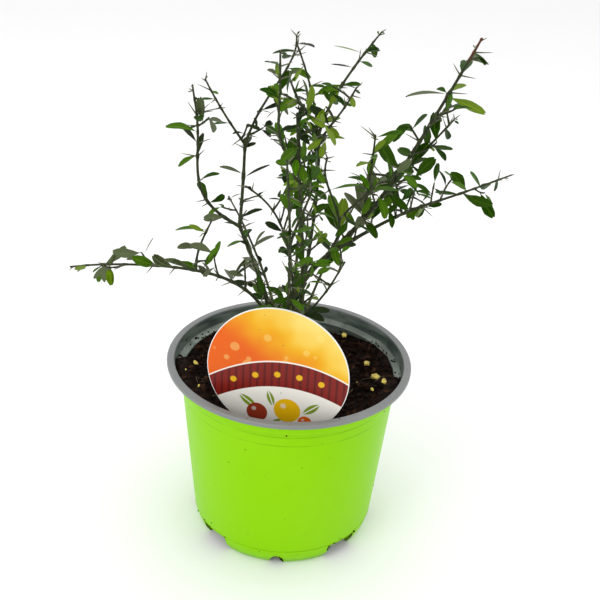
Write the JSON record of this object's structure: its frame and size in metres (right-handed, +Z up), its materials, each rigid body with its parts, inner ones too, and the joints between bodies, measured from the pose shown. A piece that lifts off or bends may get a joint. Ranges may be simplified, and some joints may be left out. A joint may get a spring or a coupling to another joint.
{
  "type": "potted finger lime tree",
  "caption": "Young finger lime tree with thin thorny stems and small leaves, growing from soil in a round tapering plastic pot with a round plant label.",
  "frame": {"origin": "on the ground under the middle of the pot", "axes": "+Z up the plant, +X to the right and +Y away from the viewer as pictured"},
  "size_m": [0.2267, 0.1893, 0.2792],
  "materials": {
    "pot_green": "satin moulded polypropylene",
    "soil": "loose damp potting soil",
    "label": "printed plastic sheet",
    "bark": "smooth green bark",
    "leaf": "leathery leaves"
  },
  "bodies": {
    "root": {"pot": "pot_green", "potting_soil": "soil", "plant_label": "label", "trunk": "bark", "bough_far_left": "bark", "bough_left": "bark", "bough_thin_left": "bark", "bough_centre": "bark", "bough_centre_right": "bark", "bough_right": "bark", "bough_back": "bark", "bough_front": "bark", "bough_front_left": "bark", "bough_back_left": "bark", "bough_back_right": "bark", "bough_low_right": "bark", "foliage_far_left": "leaf", "foliage_left": "leaf", "foliage_thin_left": "leaf", "foliage_centre": "leaf", "foliage_centre_right": "leaf", "foliage_right_low": "leaf", "foliage_right_tall": "leaf", "foliage_right_inner": "leaf", "foliage_back": "leaf", "foliage_front": "leaf", "foliage_front_left": "leaf", "foliage_back_left": "leaf", "foliage_back_right": "leaf", "foliage_low_right": "leaf", "foliage_tuft_left": "leaf", "foliage_tuft_right": "leaf", "foliage_tuft_back": "leaf"}
  },
  "joints": []
}
